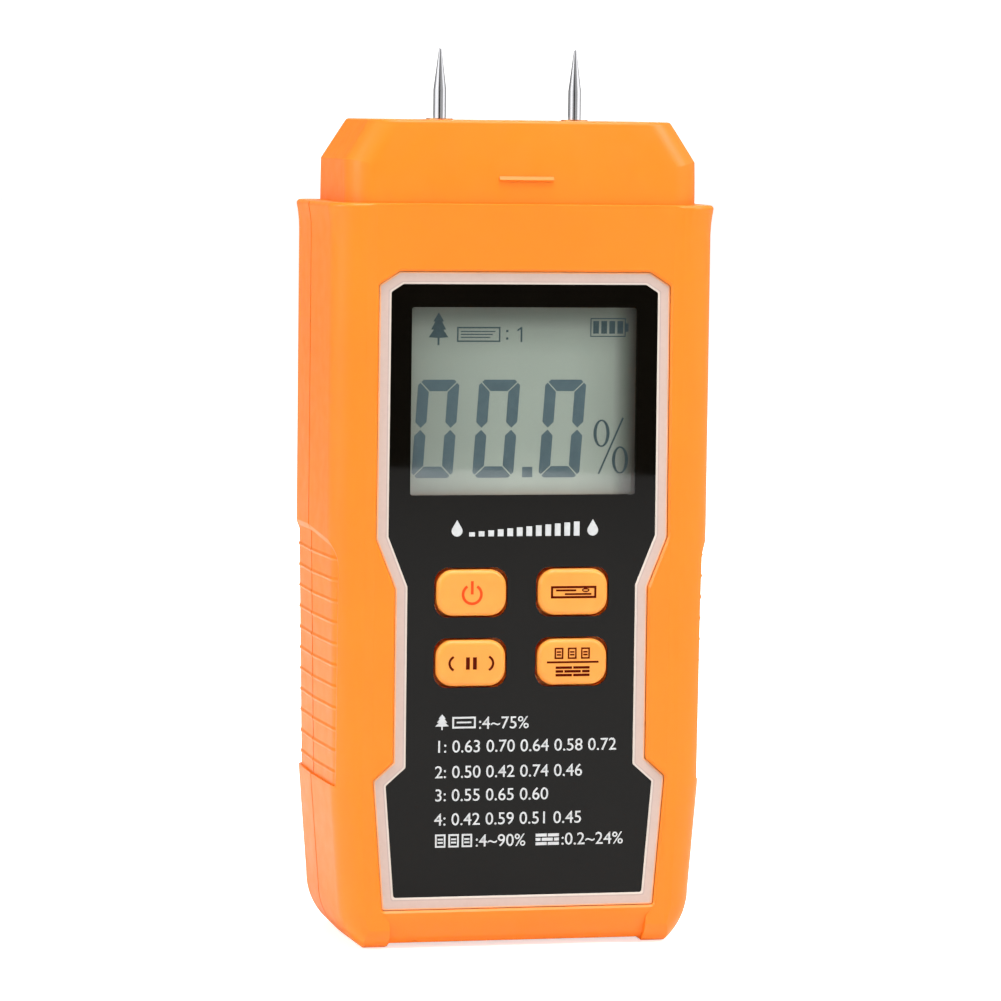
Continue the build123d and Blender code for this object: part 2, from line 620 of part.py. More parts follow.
# ---- Electrodes: each a steel pin in a brass bush, with a lug and a nut --------------
for side, axis_x in (("left", -PIN_X), ("right", PIN_X)):
    with BuildPart() as pin:
        with BuildSketch(Plane.XZ):
            with Locations((axis_x, 0)):
                Polygon(
                    (0, PIN_FOOT_Z),
                    (PIN_SHANK_RADIUS, PIN_FOOT_Z),
                    (PIN_SHANK_RADIUS, HEAD_TOP + BUSH_COLLAR_HIGH),
                    (PIN_RADIUS, HEAD_TOP + BUSH_COLLAR_HIGH),
                    (PIN_RADIUS, PIN_SHOULDER_Z),
                    (PIN_TIP_RADIUS, PIN_TIP_Z - 0.1),
                    (0, PIN_TIP_Z),
                    align=None,
                )
        revolve(axis=Axis((axis_x, 0, 0), (0, 0, 1)))
    keep(pin, f"electrode_pin_{side}")

    with BuildPart() as bush:
        with BuildSketch(Plane.XZ):
            with Locations((axis_x, 0)):
                Polygon(
                    (PIN_SHANK_RADIUS, BUSH_LOW),
                    (BUSH_RADIUS, BUSH_LOW),
                    (BUSH_RADIUS, HEAD_TOP),
                    (BUSH_COLLAR_RADIUS, HEAD_TOP),
                    (BUSH_COLLAR_RADIUS, HEAD_TOP + BUSH_COLLAR_HIGH),
                    (PIN_SHANK_RADIUS, HEAD_TOP + BUSH_COLLAR_HIGH),
                    align=None,
                )
        revolve(axis=Axis((axis_x, 0, 0), (0, 0, 1)))
    keep(bush, f"pin_bush_{side}")

    inward = -1 if axis_x > 0 else 1
    tail_x = axis_x + inward * LUG_TAIL_X
    lug_low = BUSH_BOSS_LOW - LUG_THICK
    with BuildPart() as lug:
        with BuildSketch(Plane.XY.offset(lug_low)):
            with Locations((axis_x, 0)):
                Circle(LUG_RADIUS)
            with Locations(((axis_x + tail_x) / 2, 0)):
                Rectangle(LUG_TAIL_X + LUG_THICK, 1.6)
            with Locations((axis_x, 0)):
                Circle(BUSH_RADIUS, mode=Mode.SUBTRACT)
        extrude(amount=LUG_THICK)
        with BuildSketch(Plane.XY.offset(lug_low - 2.6)):
            with Locations((tail_x, 0)):
                Circle(0.75)
                Circle(WIRE_RADIUS, mode=Mode.SUBTRACT)
        extrude(amount=2.6)
    keep(lug, f"ring_lug_{side}")

    wire_top = lug_low - 0.4
    wire_route = (
        (tail_x, 0, wire_top),
        (tail_x, 0, WIRE_TURN_Z),
        (tail_x, BOARD_BACK_Y, WIRE_TURN_Z),
    )
    bent_wire(f"sensor_wire_{side}", wire_route, WIRE_BEND, WIRE_RADIUS)

with BuildPart() as pin_nuts:
    with BuildSketch(Plane.XY.offset(BUSH_BOSS_LOW - LUG_THICK - NUT_HIGH)):
        with Locations((-PIN_X, 0), (PIN_X, 0)):
            RegularPolygon(NUT_FLATS / 2, 6, major_radius=False, rotation=30)
            Circle(BUSH_RADIUS, mode=Mode.SUBTRACT)
    extrude(amount=NUT_HIGH)
keep(pin_nuts, "pin_nuts")

# ---- Printed panel and display window -----------------------------------------------
with BuildPart() as front_overlay:
    extrude(panel_shape(PANEL_SEAT_Y, PANEL_GAP), amount=PANEL_SEAT_Y - PANEL_Y)
    with BuildSketch(facing_front(PANEL_SEAT_Y)):
        with Locations((0, WINDOW_MID)):
            RectangleRounded(2 * WINDOW_X, WINDOW_TALL, 0.4)
    extrude(amount=1, mode=Mode.SUBTRACT)
    for x, z in KEY_PLACES.values():
        extrude(key_shape(PANEL_SEAT_Y, x, z, KEY_HOLE_CORNER, KEY_GAP), amount=1, mode=Mode.SUBTRACT)
keep(front_overlay, "front_overlay")

with BuildPart() as display_window:
    with BuildSketch(facing_front(PANEL_SEAT_Y)):
        with Locations((0, WINDOW_MID)):
            RectangleRounded(2 * WINDOW_X, WINDOW_TALL, 0.4)
    extrude(amount=PANEL_SEAT_Y - PANEL_Y)
    with BuildSketch(facing_front(LENS_SEAT_Y)):
        with Locations((0, WINDOW_MID)):
            RectangleRounded(2 * (WINDOW_X + LENS_FLANGE), WINDOW_TALL + 2 * LENS_FLANGE, 1)
    extrude(amount=LENS_SEAT_Y - PANEL_SEAT_Y)
keep(display_window, "display_window")

# ---- Liquid crystal display and the frame that clips it to the board -----------------
with BuildPart() as lcd_glass:
    for y, thick, low in (
        (GLASS_STEP_Y, GLASS_STEP_Y - GLASS_FRONT_Y, GLASS_LOW),
        (GLASS_BACK_Y, GLASS_BACK_Y - GLASS_STEP_Y, GLASS_STEP_Z),
    ):
        with BuildSketch(facing_front(y)):
            with Locations((0, (low + GLASS_HIGH) / 2)):
                Rectangle(2 * GLASS_X, GLASS_HIGH - low)
        extrude(amount=thick)
keep(lcd_glass, "lcd_glass")

FILM_X = GLASS_X - 0.6
FILM_LOW = GLASS_STEP_Z + 0.3
FILM_HIGH = GLASS_HIGH - 0.6
for name, back_y, thick in (
    ("lcd_polariser", GLASS_FRONT_Y, FILM),
    ("lcd_reflector", GLASS_BACK_Y + FILM, FILM),
    ("backlight_panel", BOARD_FRONT_Y - 0.1, 1.1),
):
    with BuildPart() as layer:
        with BuildSketch(facing_front(back_y)):
            with Locations((0, (FILM_LOW + FILM_HIGH) / 2)):
                Rectangle(2 * FILM_X, FILM_HIGH - FILM_LOW)
        extrude(amount=thick)
    keep(layer, name)

with BuildPart() as lcd_frame:
    with BuildSketch(facing_front(BOARD_FRONT_Y)):
        with Locations((0, (GLASS_LOW + GLASS_HIGH) / 2)):
            hole_wide = 2 * (GLASS_X + FRAME_GAP)
            hole_tall = GLASS_HIGH - GLASS_LOW + 2 * FRAME_GAP
            RectangleRounded(hole_wide + 2 * FRAME_WALL, hole_tall + 2 * FRAME_WALL - 0.4, 1)
            Rectangle(hole_wide, hole_tall, mode=Mode.SUBTRACT)
    extrude(amount=BOARD_FRONT_Y - FLOOR_Y)
keep(lcd_frame, "lcd_frame")

with BuildPart() as zebra_strip:
    with BuildSketch(facing_front(BOARD_FRONT_Y)):
        with Locations((0, (GLASS_LOW + GLASS_STEP_Z) / 2)):
            Rectangle(2 * GLASS_X - 2, 2.2)
    extrude(amount=BOARD_FRONT_Y - GLASS_STEP_Y)
keep(zebra_strip, "zebra_strip")

# ---- Keys, each on its rubber web over a contact pill --------------------------------
PILL_BACK_Y = BOARD_FRONT_Y - KEY_TRAVEL - 0.1
STEM_BACK_Y = PILL_BACK_Y - PILL_THICK
FLANGE_BACK_Y = KEY_FLANGE_Y + KEY_FLANGE_THICK
MAT_FRONT_Y = BOARD_FRONT_Y - MAT_THICK

for name, (key_x, key_z) in KEY_PLACES.items():
    with BuildPart() as key:
        extrude(key_shape(KEY_FLANGE_Y, key_x, key_z, KEY_CORNER), amount=KEY_FLANGE_Y - KEY_FACE_Y)
        fillet(key.faces().sort_by(Axis.Y)[0].edges(), KEY_EDGE)
        extrude(key_shape(FLANGE_BACK_Y, key_x, key_z, KEY_CORNER, KEY_FLANGE), amount=KEY_FLANGE_THICK)
        with BuildSketch(facing_front(STEM_BACK_Y)):
            with Locations((key_x, key_z)):
                RectangleRounded(KEY_STEM_WIDE, KEY_STEM_TALL, 1)
        extrude(amount=STEM_BACK_Y - FLANGE_BACK_Y)
    keep(key, f"key_{name}")

    with BuildPart() as pill:
        with BuildSketch(facing_front(PILL_BACK_Y)):
            with Locations((key_x, key_z)):
                RectangleRounded(PILL_WIDE, PILL_TALL, 1)
        extrude(amount=PILL_THICK)
    keep(pill, f"contact_pill_{name}")

    with BuildPart() as web:
        for inward, mode in ((0, Mode.ADD), (2 * WEB_THICK, Mode.SUBTRACT)):
            with BuildSketch(facing_front(MAT_FRONT_Y)) as web_foot:
                with Locations((key_x, key_z)):
                    RectangleRounded(WEB_FOOT_WIDE - inward, WEB_FOOT_TALL - inward, 2)
            with BuildSketch(facing_front(FLANGE_BACK_Y)) as web_top:
                with Locations((key_x, key_z)):
                    RectangleRounded(WEB_TOP_WIDE - inward, WEB_TOP_TALL - inward, 1.5)
            loft([web_foot.sketch, web_top.sketch], mode=mode)
    keep(web, f"key_web_{name}")

with BuildPart() as keypad_mat:
    with BuildSketch(facing_front(BOARD_FRONT_Y)):
        with Locations((0, (KEY_TOP_Z + KEY_LOW_Z) / 2)):
            RectangleRounded(35, 24.6, 1.5)
        with Locations(*KEY_PLACES.values()):
            web_gap = 2 * WEB_THICK
            RectangleRounded(WEB_FOOT_WIDE - web_gap, WEB_FOOT_TALL - web_gap, 1.6, mode=Mode.SUBTRACT)
    extrude(amount=MAT_THICK)
keep(keypad_mat, "keypad_mat")

# ---- Circuit board and what is soldered to it ----------------------------------------
with BuildPart() as main_board:
    with BuildSketch(facing_front(BOARD_BACK_Y)):
        with Locations((0, BOARD_MID)):
            RectangleRounded(2 * BOARD_X, BOARD_HIGH - BOARD_LOW, 1.5)
        with Locations(*BOARD_SCREWS):
            Circle(BOARD_SCREW_RADIUS + 0.2, mode=Mode.SUBTRACT)
    extrude(amount=BOARD_BACK_Y - BOARD_FRONT_Y)
keep(main_board, "main_board")


def board_part(name, places, wide, tall, high, corner=0.2):
    """One or more identical packages standing on the back of the board."""
    with BuildPart() as package:
        with BuildSketch(facing_back(BOARD_BACK_Y)):
            with Locations(*[(-x, z) for x, z in places]):
                RectangleRounded(wide, tall, corner)
        extrude(amount=high)
    keep(package, name)


board_part("microcontroller", [(0, 86)], 10, 10, 1.5)
board_part("amplifier_chips", [(-12, 92), (12, 92)], 3.9, 4.9, 1.5)
board_part("crystal_can", [(-10, 81)], 4.6, 10.2, 3.4, 2.2)
board_part("trim_pot", [(13, 99)], 6.6, 6.6, 4.5)
board_part(
    "chip_resistors",
    [(x, z) for x in (9, 12.5, 16) for z in (76, 79, 82)],
    2.0,
    1.2,
    0.6,
    0.1,
)

with BuildPart() as capacitors:
    with BuildSketch(facing_back(BOARD_BACK_Y)):
        with Locations((-15, 71.5), (15, 73)):
            Circle(2.5)
    extrude(amount=7)
    fillet(capacitors.faces().filter_by(Axis.Y).sort_by(Axis.Y)[-2:].edges(), 0.4)
keep(capacitors, "capacitors")


def screws(name, places, seat_y, radius, end_y, head_radius, head_high):
    """Cross-headed screws with their heads on seat_y, driven towards the front."""
    with BuildPart() as screw:
        with BuildSketch(facing_front(seat_y)):
            with Locations(*places):
                Circle(radius)
        extrude(amount=seat_y - end_y)
        with BuildSketch(facing_back(seat_y)):
            with Locations(*places):
                Circle(head_radius)
        extrude(amount=head_high)
        fillet(screw.faces().filter_by(Axis.Y).group_by(Axis.Y)[-1].edges(), head_high * 0.4)
        with BuildSketch(facing_back(seat_y + head_high / 3)):
            with Locations(*places):
                Rectangle(head_radius * 1.1, head_radius * 0.26)
                Rectangle(head_radius * 0.26, head_radius * 1.1)
        extrude(amount=head_high, mode=Mode.SUBTRACT)
    keep(screw, name)


screws("board_screws", BOARD_SCREWS, BOARD_BACK_Y, BOARD_SCREW_RADIUS, -11.6, 1.8, 1.1)
screws("case_screws", CASE_SCREWS, SCREW_SEAT_Y, CASE_SCREW_RADIUS, CASE_SCREW_END_Y, 2.3, 1.8)

# ---- Battery, its snap connector and leads -------------------------------------------
with BuildPart() as battery:
    with BuildSketch(Plane.XY.offset(BATTERY_LOW)):
        with Locations((0, BATTERY_MID_Y)):
            RectangleRounded(BATTERY_WIDE, BATTERY_DEEP, 2)
    extrude(amount=BATTERY_TALL)
keep(battery, "battery_9v")

STUD_RADIUS, SOCKET_RADIUS, SOCKET_BORE, STUD_HIGH = 2.8, 3.9, 2.85, 2.4
SNAP_LOW = BATTERY_TOP + STUD_HIGH
SNAP_HIGH = 2.8
for name, stud_x in (("battery_terminals", -TERMINAL_X), ("snap_contacts", TERMINAL_X)):
    with BuildPart() as contacts:
        with BuildSketch(Plane.XY.offset(BATTERY_TOP)):
            with Locations((stud_x, BATTERY_MID_Y)):
                Circle(STUD_RADIUS)
            with Locations((-stud_x, BATTERY_MID_Y)):
                Circle(SOCKET_RADIUS)
                Circle(SOCKET_BORE, mode=Mode.SUBTRACT)
        extrude(amount=STUD_HIGH)
    keep(contacts, name)

with BuildPart() as battery_snap:
    with BuildSketch(Plane.XY.offset(SNAP_LOW)):
        with Locations((0, BATTERY_MID_Y)):
            RectangleRounded(25.4, 12.0, 3)
    extrude(amount=SNAP_HIGH)
    fillet(battery_snap.faces().sort_by(Axis.Z)[-1].edges(), 0.6)
keep(battery_snap, "battery_snap")

LEAD_FROM_Z = SNAP_LOW + SNAP_HIGH
LEAD_TURN_Z = LEAD_FROM_Z + 11.4
for colour, lead_x in (("red", -LEAD_X), ("black", LEAD_X)):
    lead_route = (
        (lead_x, BATTERY_MID_Y, LEAD_FROM_Z),
        (lead_x, BATTERY_MID_Y, LEAD_TURN_Z),
        (lead_x, BOARD_BACK_Y, LEAD_TURN_Z),
    )
    bent_wire(f"battery_lead_{colour}", lead_route, LEAD_BEND, LEAD_RADIUS)
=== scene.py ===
"""The looks of the handheld moisture meter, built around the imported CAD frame.

The front faces -Y. The pieces' sizes are in millimetres and become metres where the geometry is
made. The stage, and the places where a material changes, are in metres.
"""

import math

import bmesh
import bpy
from mathutils import Matrix, Vector


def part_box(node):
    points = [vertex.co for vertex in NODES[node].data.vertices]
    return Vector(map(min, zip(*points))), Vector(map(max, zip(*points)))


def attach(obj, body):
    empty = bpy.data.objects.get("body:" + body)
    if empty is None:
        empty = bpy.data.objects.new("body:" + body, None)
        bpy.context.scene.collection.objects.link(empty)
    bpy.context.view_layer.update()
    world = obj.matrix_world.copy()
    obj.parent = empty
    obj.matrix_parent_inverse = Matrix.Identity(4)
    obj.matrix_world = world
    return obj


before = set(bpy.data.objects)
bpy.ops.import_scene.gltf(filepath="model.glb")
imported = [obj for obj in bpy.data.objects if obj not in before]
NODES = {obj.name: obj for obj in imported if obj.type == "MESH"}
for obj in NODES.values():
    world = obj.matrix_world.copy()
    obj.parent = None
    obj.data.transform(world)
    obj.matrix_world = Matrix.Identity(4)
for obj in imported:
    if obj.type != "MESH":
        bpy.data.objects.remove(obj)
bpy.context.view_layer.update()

MM = 0.001

PANEL_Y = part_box("front_overlay")[0].y / MM
LCD_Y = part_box("lcd_polariser")[0].y / MM
KEY_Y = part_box("key_power")[0].y / MM
LCD_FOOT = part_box("lcd_polariser")[0].z / MM
KEYS = ("power", "wood", "hold", "wall")
SIDES = ("left", "right")


def centre(node):
    """The x and z of a node's middle, in millimetres."""
    low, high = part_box(node)
    return (low.x + high.x) / 2 / MM, (low.z + high.z) / 2 / MM


# ---- Materials -----------------------------------------------------------------------

NOISE_LOW, NOISE_HIGH = 0.3, 0.7        # most of a noise pattern's values lie between these


class Look:
    """A Principled material with helpers for its patterns, which all use object coordinates."""

    def __init__(self, name, colour, roughness, **sockets):
        self.material = bpy.data.materials.new(name)
        self.material.use_nodes = True
        self.nodes = self.material.node_tree.nodes
        self.links = self.material.node_tree.links
        self.shader = self.nodes["Principled BSDF"]
        self.place = self.nodes.new("ShaderNodeTexCoord").outputs["Object"]
        self.colour = colour
        self.shader.inputs["Base Color"].default_value = (*colour, 1)
        self.shader.inputs["Roughness"].default_value = roughness
        for socket, value in sockets.items():
            self.shader.inputs[socket.replace("_", " ")].default_value = value

    def scaled(self, size, stretch=(1, 1, 1), seed=0.0):
        """The place in steps of `size` millimetres, moved along by the seed."""
        mapping = self.nodes.new("ShaderNodeMapping")
        mapping.inputs["Scale"].default_value = [s / (size * MM) for s in stretch]
        mapping.inputs["Location"].default_value = (seed, 2 * seed, 3 * seed)
        self.links.new(self.place, mapping.inputs["Vector"])
        return mapping.outputs["Vector"]

    def noise(self, size, detail=2.0, stretch=(1, 1, 1), seed=0.0):
        """A noise pattern with features about `size` millimetres across."""
        texture = self.nodes.new("ShaderNodeTexNoise")
        texture.inputs["Scale"].default_value = 1.0
        texture.inputs["Detail"].default_value = detail
        self.links.new(self.scaled(size, stretch, seed), texture.inputs["Vector"])
        return texture.outputs["Fac"]

    def cells(self, size):
        """A cell pattern with cells about `size` millimetres across."""
        texture = self.nodes.new("ShaderNodeTexVoronoi")
        texture.inputs["Scale"].default_value = 1.0
        self.links.new(self.scaled(size), texture.inputs["Vector"])
        return texture.outputs["Distance"]

    def along(self, axis):
        """How far along X, Y or Z the place is, in metres."""
        node = self.nodes.new("ShaderNodeSeparateXYZ")
        self.links.new(self.place, node.inputs["Vector"])
        return node.outputs[axis]

    def spread(self, value, low, high, from_low=NOISE_LOW, from_high=NOISE_HIGH):
        """The pattern's values, spread over low to high."""
        node = self.nodes.new("ShaderNodeMapRange")
        node.inputs["From Min"].default_value = from_low
        node.inputs["From Max"].default_value = from_high
        node.inputs["To Min"].default_value = low
        node.inputs["To Max"].default_value = high
        self.links.new(value, node.inputs["Value"])
        return node.outputs["Result"]

    def tint(self, value, other, from_low=NOISE_LOW, from_high=NOISE_HIGH):
        """The base colour goes over to another where the pattern is high."""
        mix = self.nodes.new("ShaderNodeMix")
        mix.data_type = "RGBA"
        self.links.new(self.spread(value, 0, 1, from_low, from_high), mix.inputs["Factor"])
        mix.inputs["A"].default_value = (*self.colour, 1)
        mix.inputs["B"].default_value = (*other, 1)
        before = self.shader.inputs["Base Color"]
        if before.is_linked:
            self.links.new(before.links[0].from_socket, mix.inputs["A"])
        self.links.new(mix.outputs["Result"], before)

    def rough(self, value, low, high):
        """The roughness follows the pattern from low to high."""
        self.links.new(self.spread(value, low, high), self.shader.inputs["Roughness"])

    def bump(self, value, height):
        """Raises the surface by up to `height` millimetres where the pattern is high."""
        node = self.nodes.new("ShaderNodeBump")
        node.inputs["Strength"].default_value = 1.0
        node.inputs["Distance"].default_value = height * MM
        self.links.new(value, node.inputs["Height"])
        before = self.shader.inputs["Normal"]
        if before.is_linked:
            self.links.new(before.links[0].from_socket, node.inputs["Normal"])
        self.links.new(node.outputs["Normal"], before)


def moulded(name, colour, other, roughness, **sockets):
    """Injection-moulded plastic: a faint flow mottle and a fine spark-eroded texture."""
    look = Look(name, colour, roughness, **sockets)
    look.tint(look.noise(22, 3), other)
    look.rough(look.noise(3, 3, seed=4), roughness - 0.04, roughness + 0.05)
    look.bump(look.noise(0.35, 3), 0.006)
    look.bump(look.cells(0.12), 0.002)
    return look


def printed(name, colour, other, roughness=0.4, **sockets):
    """Screen-printed ink: faint unevenness of cover and gloss."""
    look = Look(name, colour, roughness, **sockets)
    look.tint(look.noise(0.6, 4), other)
    look.rough(look.noise(0.4, 3, seed=2), roughness - 0.05, roughness + 0.08)
    look.bump(look.noise(0.15, 2), 0.002)
    return look


def plated(name, colour, other, roughness, stretch=(1, 1, 1)):
    """Metal with polishing marks along one direction."""
    look = Look(name, colour, roughness, Metallic=1.0)
    look.tint(look.noise(0.8, 4, stretch), other)
    look.rough(look.noise(0.3, 4, stretch, seed=5), roughness * 0.7, roughness * 1.5)
    look.bump(look.noise(0.2, 3, stretch), 0.0015)
    return look


def rubbery(name, colour, other, roughness=0.6):
    """Soft or plain plastic, rubber or foam, with a slightly uneven surface."""
    look = Look(name, colour, roughness)
    look.tint(look.noise(4, 4), other)
    look.rough(look.noise(1.2, 3, seed=7), roughness - 0.08, roughness + 0.1)
    look.bump(look.noise(0.25, 3), 0.008)
    return look


ORANGE = (0.95, 0.228, 0.006)
ORANGE_DEEP = (0.93, 0.212, 0.005)
SHELL_ROUGHNESS = 0.42
SHELL_SHINE = 0.42

housing_look, head_look = (
    moulded(name, ORANGE, ORANGE_DEEP, SHELL_ROUGHNESS, Specular_IOR_Level=SHELL_SHINE)
    for name in ("housing_orange", "head_orange")
)

panel_look = Look("panel_black", (0.0026, 0.0021, 0.0014), 0.02, Specular_IOR_Level=0.2)
panel_look.tint(panel_look.noise(9, 3), (0.0036, 0.0029, 0.0019))
panel_look.rough(panel_look.noise(2.5, 3, seed=3), 0.015, 0.03)

WINDOW_MIRROR = (0.085, 0.7)    # share of the light that is mirrored head on and at a grazing angle
WINDOW_TURN = (0.45, 1.0)       # Facing values between which the share grows


def clear_window():
    """Clear acrylic: most light goes straight through, and the surface mirrors a little."""
    look = Look("window_clear", (1, 1, 1), 0.03)
    clear = look.nodes.new("ShaderNodeBsdfTransparent")
    clear.inputs["Color"].default_value = (0.97, 0.98, 0.97, 1)
    gloss = look.nodes.new("ShaderNodeBsdfGlossy")
    look.links.new(look.spread(look.noise(6, 2), 0.015, 0.035), gloss.inputs["Roughness"])
    tilt = look.nodes.new("ShaderNodeLayerWeight").outputs["Facing"]
    mix = look.nodes.new("ShaderNodeMixShader")
    look.links.new(look.spread(tilt, *WINDOW_MIRROR, *WINDOW_TURN), mix.inputs["Fac"])
    look.links.new(clear.outputs["BSDF"], mix.inputs[1])
    look.links.new(gloss.outputs["BSDF"], mix.inputs[2])
    out = look.nodes["Material Output"]
    look.links.new(mix.outputs["Shader"], out.inputs["Surface"])
    look.nodes.remove(look.shader)
    return look


window_look = clear_window()

LCD_GROUND = (0.46, 0.515, 0.455)
# Painted light and shade on the display: a painted shadow of the window's frame darkens it towards its
# top, left and right edges, almost to black at the right-hand edge, and painted light brightens it
# towards its bottom.
LCD_PAINTED_LIGHT_AND_SHADE = (         # axis, brightness, and the places where it starts and where it is reached
    ("Z", 1.2, 0.078, 0.071),
    ("X", 0.7, -0.002, -0.020),
    ("X", 0.66, 0.008, 0.019),
    ("Z", 0.66, 0.0915, 0.0985),
    ("Z", 0.42, 0.0955, 0.0985),
    ("X", 0.1, 0.0145, 0.0185),
)


def times(colour, factor):
    """The colour made brighter or darker by a factor."""
    return [c * factor for c in colour]


lcd_look = Look("lcd_ground", LCD_GROUND, 0.45)
lcd_look.tint(lcd_look.noise(14, 3), times(LCD_GROUND, 0.95))
lcd_look.tint(lcd_look.noise(0.35, 3, seed=1), times(LCD_GROUND, 1.06), 0.45, 0.8)
# The display's ground gets its painted shadow and painted light along X and Z.
for axis, brightness, start, end in LCD_PAINTED_LIGHT_AND_SHADE:
    lcd_look.tint(lcd_look.along(axis), times(LCD_GROUND, brightness), start, end)
lcd_look.bump(lcd_look.noise(0.2, 2), 0.004)

SEGMENT_GREY = (0.11, 0.165, 0.195)
SEGMENT_PALE = (0.125, 0.185, 0.215)
THIN_GREY = (0.065, 0.10, 0.115)
THIN_PALE = (0.08, 0.12, 0.135)
segment_look = printed("lcd_segment", SEGMENT_GREY, SEGMENT_PALE, 0.5, Specular_IOR_Level=0.2)
segment_thin_look = printed("lcd_segment_thin", THIN_GREY, THIN_PALE, 0.5, Specular_IOR_Level=0.2)

key_look = Look(
    "key_silicone",
    (1.0, 0.36, 0.055),
    0.42,
    Subsurface_Weight=0.35,
    Subsurface_Radius=(1.0, 0.5, 0.15),
    Subsurface_Scale=0.0012,
)
key_look.tint(key_look.noise(5, 3), (1.0, 0.33, 0.045))
key_look.rough(key_look.noise(1.5, 3), 0.36, 0.48)
key_look.bump(key_look.noise(0.3, 3), 0.004)

# The border's outer slope is coloured with a painted orange reflection of the housing's recess wall.
border_rim_reflection_look = printed("ring_edge_painted_reflection", (0.88, 0.46, 0.22), (0.86, 0.44, 0.20), 0.4)
ring_look = printed("ring_face", (0.60, 0.455, 0.395), (0.58, 0.435, 0.375), 0.4)
ring_line_look = printed("ring_line", (0.51, 0.39, 0.35), (0.49, 0.37, 0.33), 0.4)
ring_lip_look = printed("ring_lip", (0.67, 0.58, 0.51), (0.65, 0.56, 0.49), 0.4)
ink_white_look = printed("ink_white", (0.62, 0.635, 0.635), (0.55, 0.565, 0.57), 0.45)
INK_BROWN, INK_BROWN_WORN = (0.08, 0.004, 0.0), (0.10, 0.006, 0.0)
INK_RED, INK_RED_WORN = (0.86, 0.075, 0.012), (0.82, 0.065, 0.010)
ink_brown_look = printed("ink_brown", INK_BROWN, INK_BROWN_WORN, 0.6, Specular_IOR_Level=0.05)
ink_red_look = printed("ink_red", INK_RED, INK_RED_WORN, 0.6, Specular_IOR_Level=0.1)

LOOKS = {
    "front_shell": housing_look,
    "rear_shell": housing_look,
    "battery_door": housing_look,
    "sensor_head": head_look,
    "front_overlay": panel_look,
    "display_window": window_look,
    "lcd_polariser": lcd_look,
    "lcd_glass": rubbery("lcd_edge", (0.35, 0.4, 0.36), (0.3, 0.35, 0.31), 0.2),
    "lcd_reflector": rubbery("reflector_film", (0.6, 0.62, 0.58), (0.55, 0.57, 0.53), 0.3),
    "backlight_panel": rubbery("backlight_milky", (0.8, 0.82, 0.8), (0.75, 0.77, 0.75), 0.3),
    "lcd_frame": rubbery("frame_black", (0.02, 0.02, 0.02), (0.028, 0.028, 0.028), 0.5),
    "zebra_strip": rubbery("zebra_grey", (0.18, 0.18, 0.19), (0.12, 0.12, 0.13)),
    "keypad_mat": rubbery("keypad_silicone", (0.5, 0.49, 0.46), (0.45, 0.44, 0.41)),
    "main_board": printed("board_green", (0.012, 0.12, 0.035), (0.016, 0.15, 0.045), 0.35),
    "capacitors": printed("capacitor_sleeve", (0.015, 0.025, 0.08), (0.02, 0.03, 0.1), 0.3),
    "crystal_can": plated("can_steel", (0.62, 0.62, 0.6), (0.55, 0.55, 0.54), 0.25),
    "trim_pot": rubbery("trim_blue", (0.02, 0.07, 0.32), (0.025, 0.08, 0.36), 0.4),
    "battery_snap": rubbery("snap_vinyl", (0.015, 0.015, 0.015), (0.022, 0.022, 0.022), 0.45),
    "battery_lead_red": rubbery("lead_red", (0.5, 0.01, 0.008), (0.42, 0.008, 0.006), 0.4),
    "battery_lead_black": rubbery("lead_black", (0.014, 0.014, 0.014), (0.02, 0.02, 0.02), 0.4),
    "door_pad": rubbery("foam_black", (0.02, 0.02, 0.021), (0.035, 0.035, 0.036), 0.85),
    "battery_9v": printed("battery_jacket", (0.035, 0.045, 0.06), (0.045, 0.055, 0.07), 0.25),
}
chip_look = rubbery("chip_black", (0.016, 0.016, 0.017), (0.024, 0.024, 0.025), 0.5)
for node in ("microcontroller", "amplifier_chips", "chip_resistors"):
    LOOKS[node] = chip_look
zinc_look = plated("screw_zinc", (0.6, 0.6, 0.57), (0.5, 0.5, 0.48), 0.3)
for node in ("board_screws", "case_screws"):
    LOOKS[node] = zinc_look
nickel_look = plated("nickel_plate", (0.66, 0.64, 0.6), (0.55, 0.53, 0.5), 0.2)
for node in ("battery_terminals", "snap_contacts"):
    LOOKS[node] = nickel_look
brass_look = plated("brass_turned", (0.72, 0.49, 0.17), (0.62, 0.41, 0.14), 0.25)
tinned_look = plated("tinned_copper", (0.66, 0.65, 0.62), (0.56, 0.55, 0.52), 0.3)
wire_look = rubbery("wire_white", (0.72, 0.72, 0.69), (0.66, 0.66, 0.63), 0.4)
pin_look = plated("pin_steel", (0.9, 0.9, 0.92), (0.82, 0.82, 0.85), 0.06, (1, 1, 0.08))
LOOKS["pin_nuts"] = brass_look
for side in SIDES:
    LOOKS[f"electrode_pin_{side}"] = pin_look
    LOOKS[f"pin_bush_{side}"] = brass_look
    LOOKS[f"ring_lug_{side}"] = tinned_look
    LOOKS[f"sensor_wire_{side}"] = wire_look
web_look = rubbery("web_silicone", (0.5, 0.49, 0.46), (0.45, 0.44, 0.41))
pill_look = rubbery("carbon_pill", (0.012, 0.012, 0.012), (0.018, 0.018, 0.018), 0.7)
for key in KEYS:
    LOOKS[f"key_{key}"] = key_look
    LOOKS[f"key_web_{key}"] = web_look
    LOOKS[f"contact_pill_{key}"] = pill_look

for name, node in NODES.items():
    node.data.materials.clear()
    node.data.materials.append(LOOKS[name].material)


# ---- Flat shapes, as lists of (x, z) points in millimetres ----------------------------

ARC_STEPS = 24


def bar(x0, z0, x1, z1):
    """A rectangle from its lower left corner to its upper right one."""
    return [(x0, z0), (x1, z0), (x1, z1), (x0, z1)]


